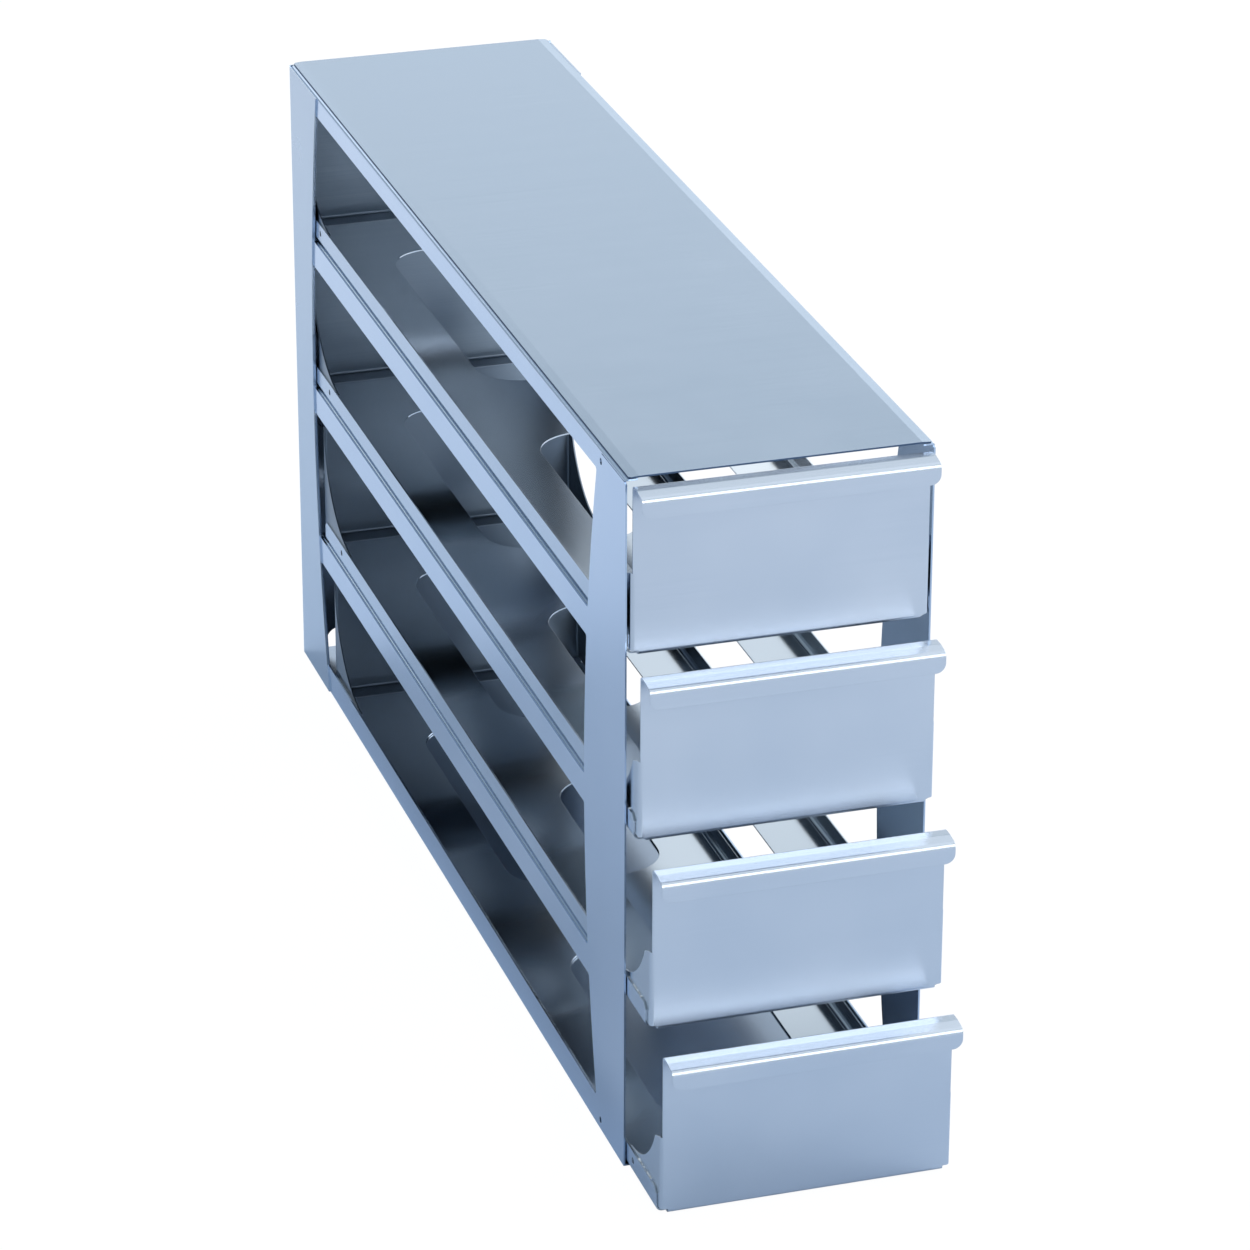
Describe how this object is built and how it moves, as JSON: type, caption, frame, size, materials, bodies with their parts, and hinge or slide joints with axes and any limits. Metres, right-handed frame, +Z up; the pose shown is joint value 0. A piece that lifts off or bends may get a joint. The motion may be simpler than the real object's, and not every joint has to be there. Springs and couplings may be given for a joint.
{
  "type": "freezer storage rack",
  "caption": "Upright-freezer rack: open-sided stainless steel case with full-length pull-out drawers for cryoboxes, each with a hooked front handle.",
  "frame": {"origin": "under the centre of the rack's bounding box as it stands, with its drawers partly open, on the surface that it rests on", "axes": "+Z up, +Y from the drawer fronts to the back, +X to the right seen from the front"},
  "size_m": [0.1406, 0.638, 0.333],
  "materials": {
    "case_steel": "brushed stainless steel sheet, lines along the length",
    "drawer_steel": "bright annealed stainless steel sheet"
  },
  "bodies": {
    "frame": {"left_side_frame": "case_steel", "right_side_frame": "case_steel", "back_panel": "case_steel", "top_panel": "case_steel", "base_panel": "case_steel", "left_runner_1": "case_steel", "right_runner_1": "case_steel", "left_runner_2": "case_steel", "right_runner_2": "case_steel", "left_runner_3": "case_steel", "right_runner_3": "case_steel"},
    "drawer_1": {"drawer_tray_1": "drawer_steel", "drawer_front_1": "drawer_steel", "drawer_back_1": "drawer_steel"},
    "drawer_2": {"drawer_tray_2": "drawer_steel", "drawer_front_2": "drawer_steel", "drawer_back_2": "drawer_steel"},
    "drawer_3": {"drawer_tray_3": "drawer_steel", "drawer_front_3": "drawer_steel", "drawer_back_3": "drawer_steel"},
    "drawer_4": {"drawer_tray_4": "drawer_steel", "drawer_front_4": "drawer_steel", "drawer_back_4": "drawer_steel"}
  },
  "joints": [
    {"name": "drawer_1_slide", "type": "slide", "parent": "frame", "child": "drawer_1", "axis": [0, -1, 0], "range_m": [-0.002, 0.418]},
    {"name": "drawer_2_slide", "type": "slide", "parent": "frame", "child": "drawer_2", "axis": [0, -1, 0], "range_m": [-0.014, 0.406]},
    {"name": "drawer_3_slide", "type": "slide", "parent": "frame", "child": "drawer_3", "axis": [0, -1, 0], "range_m": [-0.032, 0.388]},
    {"name": "drawer_4_slide", "type": "slide", "parent": "frame", "child": "drawer_4", "axis": [0, -1, 0], "range_m": [-0.048, 0.372]}
  ]
}
